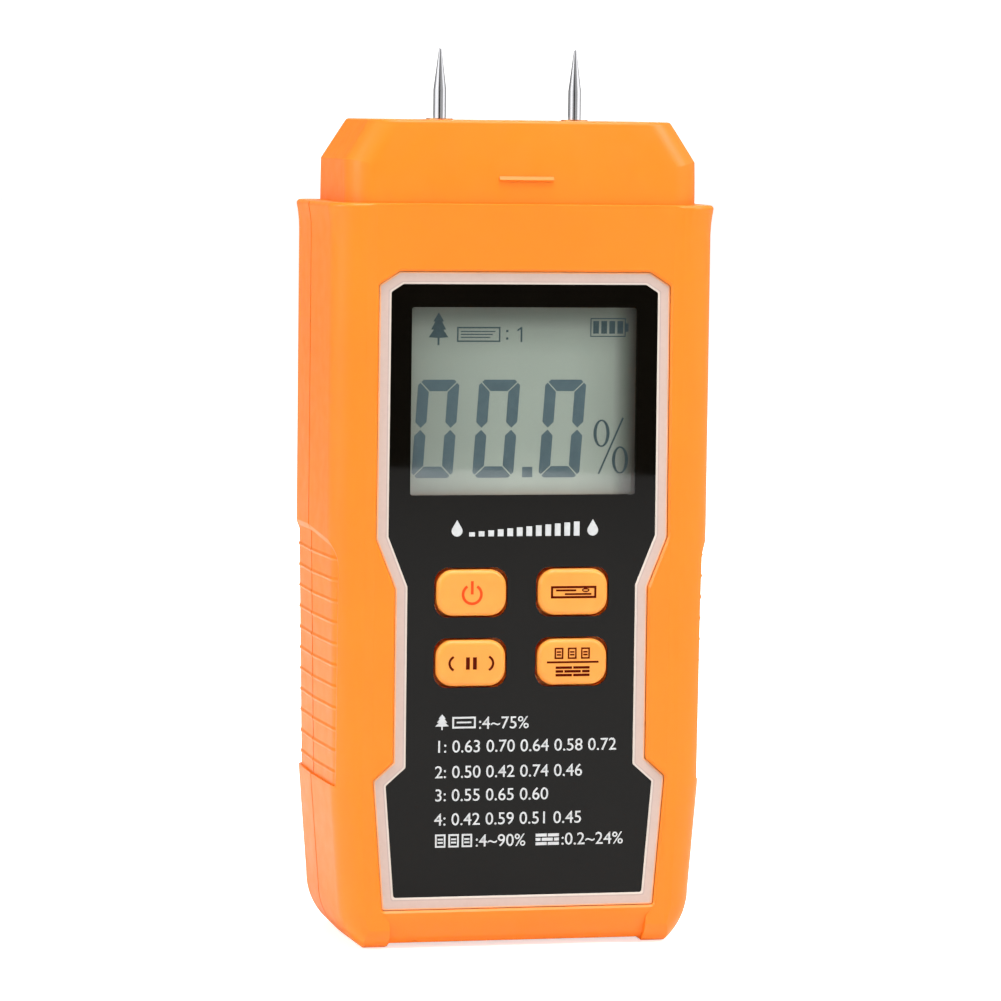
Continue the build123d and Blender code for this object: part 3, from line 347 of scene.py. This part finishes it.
def arc_band(x, z, wide, tall, thick, start=0.0, end=360.0, thin=None):
    """A band along an ellipse from one angle to another in degrees, `thin` thick above and below."""
    steps = 2 * ARC_STEPS
    thin = thick if thin is None else thin
    turns = [math.radians(start + (end - start) * n / steps) for n in range(steps + 1)]
    outer = [(x + wide * math.cos(t), z + tall * math.sin(t)) for t in turns]
    inner = [(x + (wide - thick) * math.cos(t), z + (tall - thin) * math.sin(t)) for t in turns]
    return [list(quad) for quad in zip(outer, outer[1:], inner[1:], inner)]


def stroke(start, end, thick):
    """A straight line of even thickness."""
    (x0, z0), (x1, z1) = start, end
    length = math.hypot(x1 - x0, z1 - z0)
    across_x = -(z1 - z0) / length * thick / 2
    across_z = (x1 - x0) / length * thick / 2
    return [
        (x0 - across_x, z0 - across_z),
        (x1 - across_x, z1 - across_z),
        (x1 + across_x, z1 + across_z),
        (x0 + across_x, z0 + across_z),
    ]


def frame_bars(x0, z0, x1, z1, thick):
    """The four sides of a rectangle as mitred bars."""
    outer = bar(x0, z0, x1, z1)
    inner = bar(x0 + thick, z0 + thick, x1 - thick, z1 - thick)
    return [[outer[n - 1], outer[n], inner[n], inner[n - 1]] for n in range(4)]


def drop(x, z, radius):
    """A falling drop: a round belly whose sides run up to a point."""
    lean = math.radians(30)
    turns = [lean - (math.pi + 2 * lean) * n / ARC_STEPS for n in range(ARC_STEPS + 1)]
    belly = [(x + radius * math.cos(t), z + radius * math.sin(t)) for t in turns]
    return belly + [(x, z + radius / math.sin(lean))]


def tree(x, z, wide, tall):
    """A fir tree: three tiers of branches over a stem, whose foot is at x and z, as one outline."""
    right = [
        (0.05, 0.0),
        (0.05, 0.22),
        (0.5, 0.24),
        (0.24, 0.47),
        (0.38, 0.48),
        (0.17, 0.72),
        (0.27, 0.73),
    ]
    left = [(-u, v) for u, v in reversed(right)]
    return [(x + u * wide, z + v * tall) for u, v in right + [(0.0, 1.0)] + left]


def one(x, z, wide, tall):
    """The digit one without a foot, as one outline."""
    outline = [(0.68, 0.0), (1.0, 0.0), (1.0, 1.0), (0.75, 1.0), (0.0, 0.8), (0.15, 0.71), (0.68, 0.86)]
    return [(x + u * wide, z + v * tall) for u, v in outline]


# ---- Making pieces --------------------------------------------------------------------

SAME_PLACE = 0.001      # vertices of a flat piece that are this close together are one
INK_THICK = 0.03
FONT_SCALE = 1.38       # size of the built-in font over the height of its digits


def piece_from(bm, name, body, looks):
    """Turns a bmesh into an object that rides on a body."""
    bmesh.ops.recalc_face_normals(bm, faces=bm.faces)
    mesh = bpy.data.meshes.new(name)
    bm.to_mesh(mesh)
    bm.free()
    for look in looks:
        mesh.materials.append(look.material)
    piece = bpy.data.objects.new(name, mesh)
    bpy.context.scene.collection.objects.link(piece)
    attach(piece, body)


def plates(name, shapes, y, body, look, thick=INK_THICK):
    """Thin plates, such as printed ink, which lie on the surface at depth y and face the front.

    Shapes that share a side become one solid, without a wall between them.
    """
    bm = bmesh.new()
    for shape in shapes:
        back = [bm.verts.new((x * MM, y * MM, z * MM)) for x, z in shape]
        front = [bm.verts.new((x * MM, (y - thick) * MM, z * MM)) for x, z in shape]
        bm.faces.new(back)
        bm.faces.new(reversed(front))
        for n in range(len(shape)):
            after = (n + 1) % len(shape)
            bm.faces.new((back[n], front[n], front[after], back[after]))
    bmesh.ops.remove_doubles(bm, verts=bm.verts, dist=SAME_PLACE * MM)
    walls = [face for face in bm.faces if all(len(edge.link_faces) > 2 for edge in face.edges)]
    bmesh.ops.delete(bm, geom=walls, context="FACES_ONLY")
    piece_from(bm, name, body, [look])


def numerals(name, texts, tall, bold, y, body, look):
    """Printed numbers of one height, made bolder by `bold`: each text is (characters, left x, foot z)."""
    bm = bmesh.new()
    upright = Matrix.Rotation(math.pi / 2, 4, "X")
    for characters, x, z in texts:
        curve = bpy.data.curves.new(name, "FONT")
        curve.body = characters
        curve.size = tall * MM * FONT_SCALE
        curve.offset = bold * MM
        curve.extrude = INK_THICK * MM / 2
        curve.resolution_u = 4
        text = bpy.data.objects.new(name, curve)
        bpy.context.scene.collection.objects.link(text)
        bpy.context.view_layer.update()
        filled = text.evaluated_get(bpy.context.evaluated_depsgraph_get())
        mesh = bpy.data.meshes.new_from_object(filled)
        place = Matrix.Translation(Vector((x, y - INK_THICK / 2, z)) * MM)
        mesh.transform(place @ upright)
        bm.from_mesh(mesh)
        bpy.data.objects.remove(text)
        bpy.data.curves.remove(curve)
        bpy.data.meshes.remove(mesh)
    bmesh.ops.remove_doubles(bm, verts=bm.verts, dist=SAME_PLACE * MM)
    piece_from(bm, name, body, [look])


# ---- The pale border round the printed panel ------------------------------------------

JOINED = 0.005          # vertices of the CAD mesh that are this close together are one
STRAIGHT_EDGE = 1.5     # the edges along arcs are shorter than this
SAME_WAY = 0.9999       # two edges whose directions have at least this cosine run the same way


def front_rim(node):
    """The edges round a node's front face, in order, as (start, end) in millimetres."""
    bm = bmesh.new()
    bm.from_mesh(NODES[node].data)
    bmesh.ops.remove_doubles(bm, verts=bm.verts, dist=JOINED * MM)
    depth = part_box(node)[0].y
    front = {f for f in bm.faces if all(abs(v.co.y - depth) < JOINED * MM for v in f.verts)}
    rim = [e for e in bm.edges if sum(f in front for f in e.link_faces) == 1]
    beside = {}
    for edge in rim:
        for vertex in edge.verts:
            beside.setdefault(vertex, []).append(edge)
    vertex = max(beside, key=lambda v: v.co.z)
    first = edge = beside[vertex][0]
    walk = []
    while not walk or edge is not first:
        onward = edge.other_vert(vertex)
        walk.append((vertex.co / MM, onward.co / MM))
        vertex = onward
        edge = next(e for e in beside[vertex] if e is not edge)
    bm.free()
    return walk


def front_corners(node):
    """Where the long straight edges of a node's front face would meet, anticlockwise."""
    runs = []
    for start, end in front_rim(node):
        along = (end - start).normalized()
        if (end - start).length < STRAIGHT_EDGE:
            continue
        if runs and runs[-1][1].dot(along) > SAME_WAY:
            continue
        runs.append((start, along))
    if runs[0][1].dot(runs[-1][1]) > SAME_WAY:
        runs.pop()
    corners = []
    for (here, along), (there, onward) in zip(runs, runs[1:] + runs[:1]):
        cross = along.x * onward.z - along.z * onward.x
        share = ((there.x - here.x) * onward.z - (there.z - here.z) * onward.x) / cross
        corners.append((here.x + share * along.x, here.z + share * along.z))
    area = sum(a[0] * b[1] - b[0] * a[1] for a, b in zip(corners, corners[1:] + corners[:1]))
    return corners if area > 0 else corners[::-1]


def corner_sides(corners):
    """Each corner of a polygon, with the directions of the sides into it and out of it."""
    for n, corner in enumerate(corners):
        here = Vector(corner)
        before = Vector(corners[n - 1])
        after = Vector(corners[(n + 1) % len(corners)])
        yield here, (here - before).normalized(), (after - here).normalized()


def inset(corners, distance):
    """The anticlockwise polygon moved in by a distance, with its corners kept sharp."""
    moved = []
    for here, into, out in corner_sides(corners):
        normal_in = Vector((-into.y, into.x))
        normal_out = Vector((-out.y, out.x))
        bisector = (normal_in + normal_out) / (1 + normal_in.dot(normal_out))
        moved.append(here + bisector * distance)
    return moved


def rounded(corners, radius, steps=6):
    """The polygon with each corner turned into an arc."""
    points = []
    for here, into, out in corner_sides(corners):
        turn = into.angle_signed(out)
        reach = radius * math.tan(abs(turn) / 2)
        start = here - into * reach
        side = Vector((-into.y, into.x)) * (1 if turn < 0 else -1)
        middle = start + side * radius
        for step in range(steps + 1):
            spin = Matrix.Rotation(-turn * step / steps, 2)
            points.append(middle + spin @ (start - middle))
    return points


PANEL = front_corners("front_overlay")
BORDER_RADIUS = 0.42
BORDER = (              # distance in from the edge, height over the panel, finish up to the next one
    (0.00, 0.00, 0),
    (0.04, 0.07, 0),
    (0.26, 0.10, 1),
    (1.42, 0.10, 2),
    (1.60, 0.10, 3),
    (1.84, 0.07, 3),
    (1.90, 0.00, 0),
)
# The first finish is the painted orange reflection on the border's outer slope.
BORDER_FINISHES = (border_rim_reflection_look, ring_look, ring_line_look, ring_lip_look)


def panel_border():
    """The raised pale border along the panel's edge, in bands of four finishes."""
    bm = bmesh.new()
    rings = []
    for distance, height, _ in BORDER:
        loop = rounded(inset(PANEL, distance), BORDER_RADIUS)
        rings.append([bm.verts.new((p.x * MM, (PANEL_Y - height) * MM, p.y * MM)) for p in loop])
    for outer, inner, (*_, finish) in zip(rings, rings[1:] + rings[:1], BORDER):
        for n in range(len(outer)):
            after = (n + 1) % len(outer)
            face = bm.faces.new((outer[n], inner[n], inner[after], outer[after]))
            face.material_index = finish
    piece_from(bm, "panel_border", "housing", BORDER_FINISHES)


panel_border()


# ---- What the display shows -----------------------------------------------------------

SEGMENT_THICK = 0.04    # from front to back
DIGIT_LEFT = (-17.15, -7.6, 2.85)
DIGIT_FOOT = LCD_FOOT + 3.5
DIGIT_WIDE = 6.45
DIGIT_TALL = 15.1
DIGIT_THICK = 1.75
DIGIT_LEAN = 0.066
DIGIT_CUT = 0.7         # how much the outer corners are cut
DIGIT_SPLIT = 0.13      # half the light line between two segments
DIGIT_WAIST = 0.16      # half the gap between the upper and the lower segments


def nought(left, foot):
    """The six lit segments of a leaning nought."""
    wide, tall, thick = DIGIT_WIDE, DIGIT_TALL, DIGIT_THICK
    cut, split = DIGIT_CUT, DIGIT_SPLIT
    middle = tall / 2
    top = [
        (cut + split, tall),
        (wide - cut - split, tall),
        (wide - cut / 2 - split, tall - cut / 2),
        (wide - thick - split, tall - thick),
        (thick + split, tall - thick),
        (cut / 2 + split, tall - cut / 2),
    ]
    upper_left = [
        (0, tall - cut - split),
        (cut / 2, tall - cut / 2 - split),
        (thick, tall - thick - split),
        (thick, middle + DIGIT_WAIST + thick / 2),
        (thick / 2, middle + DIGIT_WAIST),
        (0, middle + DIGIT_WAIST + thick / 2),
    ]
    upper_right = [(wide - u, v) for u, v in upper_left]
    upper = [top, upper_left, upper_right]
    lower = [[(u, tall - v) for u, v in segment] for segment in upper]
    return [[(left + u + DIGIT_LEAN * v, foot + v) for u, v in segment] for segment in upper + lower]


POINT_LEFT = 0.3
POINT_FOOT = DIGIT_FOOT + 0.05
POINT_WIDE = 1.6
segments = []
for left in DIGIT_LEFT:
    segments += nought(left, DIGIT_FOOT)
segments.append(bar(POINT_LEFT, POINT_FOOT, POINT_LEFT + POINT_WIDE, POINT_FOOT + POINT_WIDE))
plates("display_digits", segments, LCD_Y, "housing", segment_look, SEGMENT_THICK)

MARK_FOOT = LCD_FOOT + 24.4
MARK_TALL = 2.3
HAIR_LINE = 0.16
thin_marks = [tree(-13.1, MARK_FOOT - 0.5, 3.1, 5.0)]

# A plank with its grain, a colon and a one stand for the kind of wood.
PLANK_LEFT, PLANK_RIGHT = -10.2, -3.4
thin_marks += frame_bars(PLANK_LEFT, MARK_FOOT, PLANK_RIGHT, MARK_FOOT + MARK_TALL, 0.22)
for n in range(3):
    grain = MARK_FOOT + 0.7 + 0.45 * n
    grain_end = PLANK_RIGHT - 1.6 + 0.4 * n
    thin_marks.append(stroke((PLANK_LEFT + 0.6, grain), (grain_end, grain), HAIR_LINE))
COLON_LEFT = -2.5
COLON_DOT = 0.35
for foot in (MARK_FOOT + 0.35, MARK_FOOT + 1.5):
    thin_marks.append(bar(COLON_LEFT, foot, COLON_LEFT + COLON_DOT, foot + COLON_DOT))
thin_marks.append(one(-0.8, MARK_FOOT, 0.85, MARK_TALL))

BATTERY_LEFT, BATTERY_RIGHT = 10.8, 16.4
BATTERY_FOOT = MARK_FOOT + 0.8
BATTERY_TOP = BATTERY_FOOT + 2.9
CELL_GAP = 0.45
CELL_PITCH, CELL_WIDE = 1.28, 0.9
thin_marks += frame_bars(BATTERY_LEFT, BATTERY_FOOT, BATTERY_RIGHT, BATTERY_TOP, HAIR_LINE)
thin_marks.append(bar(BATTERY_RIGHT, BATTERY_FOOT + 0.8, BATTERY_RIGHT + CELL_GAP, BATTERY_TOP - 0.8))
for n in range(4):
    left = BATTERY_LEFT + CELL_GAP + CELL_PITCH * n
    thin_marks.append(bar(left, BATTERY_FOOT + 0.5, left + CELL_WIDE, BATTERY_TOP - CELL_GAP))

PERCENT_RINGS = ((12.8, 79.6), (15.8, 75.45))
for x, z in PERCENT_RINGS:
    thin_marks += arc_band(x, z, 1.28, 2.12, 0.5, thin=0.24)
thin_marks.append(stroke((12.4, 73.3), (16.2, 82.0), 0.28))
plates("display_marks", thin_marks, LCD_Y, "housing", segment_thin_look, SEGMENT_THICK)


# ---- White print on the panel ---------------------------------------------------------

TITLE_FOOT = 63.95
DROP_RADIUS = 0.85
BAR_LEFT = -8.4
BAR_PITCH, BAR_WIDE = 1.5, 0.9
title = [drop(x, TITLE_FOOT + DROP_RADIUS, DROP_RADIUS) for x in (-10.3, 11.1)]
for n in range(12):
    left = BAR_LEFT + BAR_PITCH * n
    title.append(bar(left, TITLE_FOOT, left + BAR_WIDE, TITLE_FOOT + 0.65 + 0.14 * n))
plates("title_scale", title, PANEL_Y, "housing", ink_white_look)

ROW_TALL = 1.95
ROW_LEFT = -13.4
ROW_BOLD = 0.008
WALL_LEFT = 2.6
TOP_ROW, *LIST_ROWS, LAST_ROW = (34.2, 30.6, 26.65, 23.05, 19.3, 15.9)
LIST_TEXTS = (          # made-up numbers in the place of words
    "1: 0.63 0.70 0.64 0.58 0.72",
    "2: 0.50 0.42 0.74 0.46",
    "3: 0.55 0.65 0.60",
    "4: 0.42 0.59 0.51 0.45",
)
rows = [(":4~75%", ROW_LEFT + 6.8, TOP_ROW)]
rows += [(text, ROW_LEFT, foot) for text, foot in zip(LIST_TEXTS, LIST_ROWS)]
rows += [(":4~90%", ROW_LEFT + 6.5, LAST_ROW), (":0.2~24%", WALL_LEFT + 4.1, LAST_ROW)]
numerals("range_numbers", rows, ROW_TALL, ROW_BOLD, PANEL_Y, "housing", ink_white_look)


def sheet_mark(x, z, tall, thick):
    """A sheet of paper with lines on it."""
    wide = tall * 0.8
    left, right = x + wide * 0.25, x + wide * 0.75
    lines = [bar(left, z + tall * v, right, z + tall * v + thick) for v in (0.3, 0.55)]
    return frame_bars(x, z, x + wide, z + tall, thick) + lines


def brick_mark(x, z, wide, tall, thick):
    """Three courses of bricks, with joints of that thickness."""
    course = tall / 3
    bricks = []
    for n in range(3):
        shift = wide / 4 if n % 2 else 0
        cuts = [0] + [c + shift for c in (0, wide / 2) if 0 < c + shift < wide] + [wide]
        foot = z + n * course
        for left, right in zip(cuts, cuts[1:]):
            bricks.append(bar(x + left + thick / 2, foot, x + right - thick / 2, foot + course - thick))
    return bricks


SHEET_PITCH = 2.1
row_marks = [tree(ROW_LEFT + 1.1, TOP_ROW - 0.1, 2.1, 2.4)]
row_marks += frame_bars(ROW_LEFT + 2.7, TOP_ROW + 0.1, ROW_LEFT + 6.4, TOP_ROW + 1.9, 0.28)
row_marks.append(bar(ROW_LEFT + 3.4, TOP_ROW + 0.9, ROW_LEFT + 5.7, TOP_ROW + 1.15))
for n in range(3):
    row_marks += sheet_mark(ROW_LEFT + 0.2 + SHEET_PITCH * n, LAST_ROW - 0.05, 2.05, 0.26)
row_marks += brick_mark(WALL_LEFT, LAST_ROW, 3.9, 2.0, 0.2)
plates("row_marks", row_marks, PANEL_Y, "housing", ink_white_look)


# ---- Marks on the keys ------------------------------------------------------------------

KEY_INK_THICK = 0.02


def power_mark(x, z):
    """A ring that is open at the top, with a line through the gap."""
    ring_z = z - 0.2
    line = stroke((x, ring_z), (x, z + 1.85), 0.42)
    return arc_band(x, ring_z, 1.65, 1.65, 0.42, 122, 418) + [line]


def plank_mark(x, z):
    """A plank with two lines of grain and a knot."""
    edge = frame_bars(x - 3.6, z - 0.95, x + 3.6, z + 0.95, 0.34)
    upper_grain = stroke((x - 2.8, z + 0.28), (x + 0.4, z + 0.28), 0.28)
    lower_grain = stroke((x - 1.4, z - 0.3), (x + 2.8, z - 0.3), 0.28)
    knot = arc_band(x + 1.9, z + 0.3, 0.6, 0.32, 0.2)
    return edge + [upper_grain, lower_grain] + knot


def pause_mark(x, z):
    """Two upright bars between brackets."""
    bars = [bar(x + left, z - 0.95, x + left + 0.6, z + 0.95) for left in (-0.85, 0.25)]
    left_bracket = arc_band(x - 1.9, z, 1.7, 1.45, 0.36, 125, 235)
    right_bracket = arc_band(x + 1.9, z, 1.7, 1.45, 0.36, -55, 55)
    return bars + left_bracket + right_bracket


def paper_and_wall_mark(x, z):
    """Three sheets over a wall of bricks, with a line between them."""
    shapes = [bar(x - 4.1, z - 0.15, x + 4.1, z + 0.15)]
    for n in range(3):
        shapes += sheet_mark(x - 2.9 + SHEET_PITCH * n, z + 0.5, 1.75, 0.24)
    return shapes + brick_mark(x - 2.8, z - 2.2, 5.6, 1.75, 0.2)


KEY_MARKS = {
    "power": (power_mark, ink_red_look),
    "wood": (plank_mark, ink_brown_look),
    "hold": (pause_mark, ink_brown_look),
    "wall": (paper_and_wall_mark, ink_brown_look),
}
for key, (mark, ink_look) in KEY_MARKS.items():
    node = f"key_{key}"
    plates(f"mark_{key}", mark(*centre(node)), KEY_Y, node, ink_look, KEY_INK_THICK)


# ---- Stage: floor, light and camera, in metres --------------------------------------------

WHITE = (1, 1, 1)


def staged(name, data):
    """An object of the scene that isn't part of the meter."""
    thing = bpy.data.objects.new(name, data)
    bpy.context.scene.collection.objects.link(thing)
    return thing


def card(name, corners, colour, glow=0.0):
    """A flat sheet through its corners, which may glow white."""
    mesh = bpy.data.meshes.new(name)
    mesh.from_pydata(corners, [], [tuple(range(len(corners)))])
    glowing = {"Emission_Color": (*WHITE, 1), "Emission_Strength": glow}
    look = Look(name, colour, 0.6, Specular_IOR_Level=0.2, **glowing)
    look.tint(look.noise(80, 3), times(colour, 0.985))
    mesh.materials.append(look.material)
    thing = staged(name, mesh)
    return thing


def camera_only(thing):
    """Keeps a card out of the lighting and out of reflections."""
    thing.visible_diffuse = False
    thing.visible_glossy = False
    thing.visible_shadow = False


def mirrored_only(thing):
    """Keeps a card out of sight and out of the soft light, so that only glossy surfaces show it."""
    thing.visible_camera = False
    thing.visible_diffuse = False
    thing.visible_shadow = False
    thing.visible_transmission = False


def wall_card(name, start, end, low, high, glow=0.0):
    """An upright card over the line from start to end, dark or glowing, which only reflections show."""
    (x0, y0), (x1, y1) = start, end
    corners = [(x0, y0, low), (x1, y1, low), (x1, y1, high), (x0, y0, high)]
    mirrored_only(card(name, corners, (0.01, 0.01, 0.011), glow))


STAGE = 6               # how far the floor and the backdrop reach to each side
BACKDROP_Y = 5.5


def level_square(z):
    """The corners of a level square as large as the stage."""
    return [(-STAGE, -STAGE, z), (STAGE, -STAGE, z), (STAGE, STAGE, z), (-STAGE, STAGE, z)]


# The floor that the camera sees is nearly pure white. The one that lights the object is duller.
camera_only(card("floor", level_square(0), times(WHITE, 0.96), 0.66))
bounce_floor = card("bounce_floor", level_square(-0.001), times(WHITE, 0.9))
bounce_floor.visible_camera = False

# Cards that only reflections show: the dark end of the table in the panel, and the surroundings of
# the pins and the left side.
wall_card("table_end", (-0.329, -1.207), (0.671, -0.727), 0, 0.11)
wall_card("behind_pins", (-0.05, 0.045), (0.05, 0.045), 0.128, 0.165, 0.08)
wall_card("left_of_pins", (-0.07, -0.07), (-0.07, 0.01), 0.126, 0.18, 1.1)
wall_card("right_of_pins", (0.07, -0.07), (0.07, 0.01), 0.126, 0.18, 1.1)
wall_card("behind_left", (-0.9, 0.35), (-0.1, 0.42), 0, 0.8, 0.3)
wall_card("camera_side", (-0.215, -0.46), (-0.035, -0.5), 0.06, 0.32)

backdrop_corners = [(x * STAGE, BACKDROP_Y, z) for x, z in ((-1, -1), (1, -1), (1, 5), (-1, 5))]
camera_only(card("backdrop", backdrop_corners, WHITE, 1.0))

WORLD_LIGHT = 0.38
world = bpy.data.worlds.new("studio")
world.use_nodes = True
background = world.node_tree.nodes["Background"]
background.inputs["Color"].default_value = (*WHITE, 1)
background.inputs["Strength"].default_value = WORLD_LIGHT
bpy.context.scene.world = world

MIDDLE = Vector((0, 0, 0.07))


def softbox(name, place, size, power):
    """A square area light of that size and power, pointed at the middle of the meter."""
    data = bpy.data.lights.new(name, "AREA")
    data.shape = "SQUARE"
    data.size = size
    data.energy = power
    lamp = staged(name, data)
    lamp.location = place
    lamp.rotation_euler = (MIDDLE - Vector(place)).to_track_quat("-Z", "Y").to_euler()


softbox("right_light", (0.75, -0.6, 0.8), 0.3, 6.4)
softbox("left_light", (-1.1, -0.25, 0.55), 0.4, 7)
softbox("top_light", (0.05, -0.3, 1.2), 0.4, 11)
softbox("rear_light", (0.25, 1.0, 0.8), 0.5, 5)

CAMERA_PLACE = (-0.1628, -0.7223, 0.1300)
CAMERA_YAW = 12.68      # degrees towards +X from looking along +Y
CAMERA_DOWN = 4.77
CAMERA_ROLL = 0.72
SENSOR = 36             # mm
LENS = 170.6            # mm

yaw, down, roll = (math.radians(degrees) for degrees in (CAMERA_YAW, CAMERA_DOWN, CAMERA_ROLL))
look_along = Vector((math.sin(yaw) * math.cos(down), math.cos(yaw) * math.cos(down), -math.sin(down)))
camera_data = bpy.data.cameras.new("camera")
camera_data.sensor_width = SENSOR
camera_data.lens = LENS
camera = staged("camera", camera_data)
camera.location = CAMERA_PLACE
turned = look_along.to_track_quat("-Z", "Y").to_matrix() @ Matrix.Rotation(roll, 3, "Z")
camera.rotation_euler = turned.to_euler()
bpy.context.scene.camera = camera
bpy.context.scene.view_settings.view_transform = "Standard"
